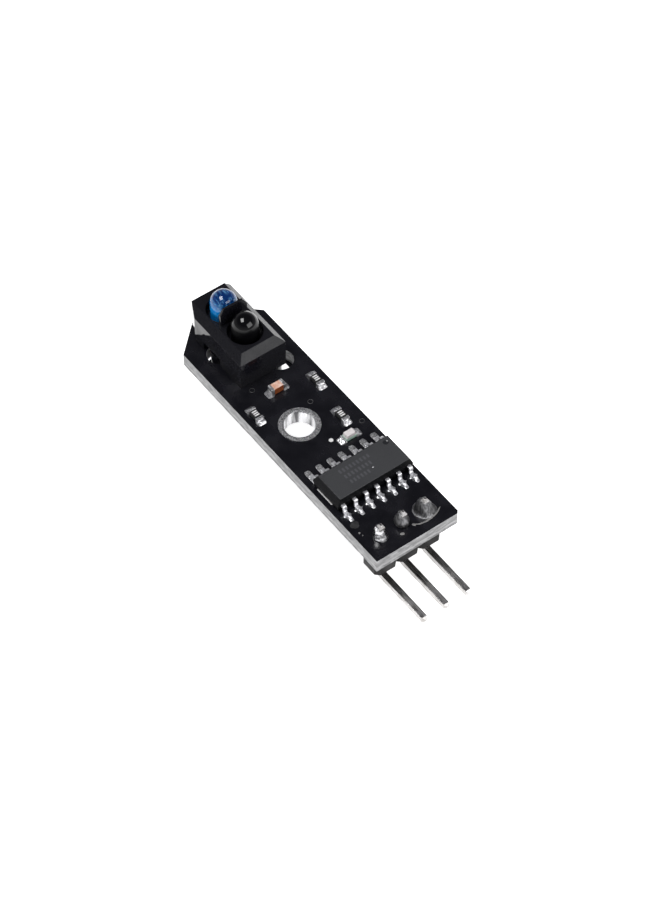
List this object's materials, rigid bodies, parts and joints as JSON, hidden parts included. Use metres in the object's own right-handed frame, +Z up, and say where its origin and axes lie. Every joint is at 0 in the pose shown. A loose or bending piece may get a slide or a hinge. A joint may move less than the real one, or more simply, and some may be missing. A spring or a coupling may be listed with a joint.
{
  "type": "infrared line-tracking sensor module",
  "caption": "Narrow circuit board with a reflective infrared sensor at one end and a bent pin header at the other, for following a line.",
  "frame": {"origin": "centre of the bounding box on X and Y, at the undersides of the header pins", "axes": "+X from the sensor end towards the pin tips, +Y across the board, +Z up from the board's component side"},
  "size_m": [0.0384, 0.0094, 0.0118],
  "materials": {
    "board_mask": "gloss",
    "plated_copper": "mottled tin plate",
    "sensor_plastic": "gloss moulding",
    "header_plastic": "satin moulding",
    "blue_resin": "clear blue epoxy",
    "dark_resin": "near-black epoxy",
    "solder": "bright solder",
    "tinned_pin": "tin plate",
    "tinned_lead": "tin plate",
    "chip_plastic": "matte moulding",
    "end_cap_metal": "tin plate",
    "resistor_body": "black glaze over white ceramic",
    "capacitor_body": "tan ceramic",
    "led_base": "pale laminate",
    "led_lens": "clear resin"
  },
  "bodies": {
    "root": {"capacitor_body": "capacitor_body", "capacitor_end_a": "end_cap_metal", "capacitor_end_b": "end_cap_metal", "chip_lead_01": "tinned_lead", "chip_lead_02": "tinned_lead", "chip_lead_03": "tinned_lead", "chip_lead_04": "tinned_lead", "chip_lead_05": "tinned_lead", "chip_lead_06": "tinned_lead", "chip_lead_07": "tinned_lead", "chip_lead_08": "tinned_lead", "chip_lead_09": "tinned_lead", "chip_lead_10": "tinned_lead", "chip_lead_11": "tinned_lead", "chip_lead_12": "tinned_lead", "chip_lead_13": "tinned_lead", "chip_lead_14": "tinned_lead", "circuit_board": "board_mask", "comparator_chip": "chip_plastic", "emitter_cell": "blue_resin", "emitter_lead_1": "tinned_pin", "emitter_lead_2": "tinned_pin", "header_insulator": "header_plastic", "header_pin_1": "tinned_pin", "header_pin_2": "tinned_pin", "header_pin_3": "tinned_pin", "header_solder_1": "solder", "header_solder_2": "solder", "header_solder_3": "solder", "indicator_led_body": "led_base", "indicator_led_end_a": "end_cap_metal", "indicator_led_end_b": "end_cap_metal", "indicator_led_lens": "led_lens", "receiver_cell": "dark_resin", "receiver_lead_1": "tinned_pin", "receiver_lead_2": "tinned_pin", "resistor_1_body": "resistor_body", "resistor_1_end_a": "end_cap_metal", "resistor_1_end_b": "end_cap_metal", "resistor_2_body": "resistor_body", "resistor_2_end_a": "end_cap_metal", "resistor_2_end_b": "end_cap_metal", "resistor_3_body": "resistor_body", "resistor_3_end_a": "end_cap_metal", "resistor_3_end_b": "end_cap_metal", "screw_hole_eyelet": "plated_copper", "sensor_housing": "sensor_plastic", "sensor_solder_1": "solder", "sensor_solder_2": "solder", "sensor_solder_3": "solder", "sensor_solder_4": "solder"}
  },
  "joints": []
}
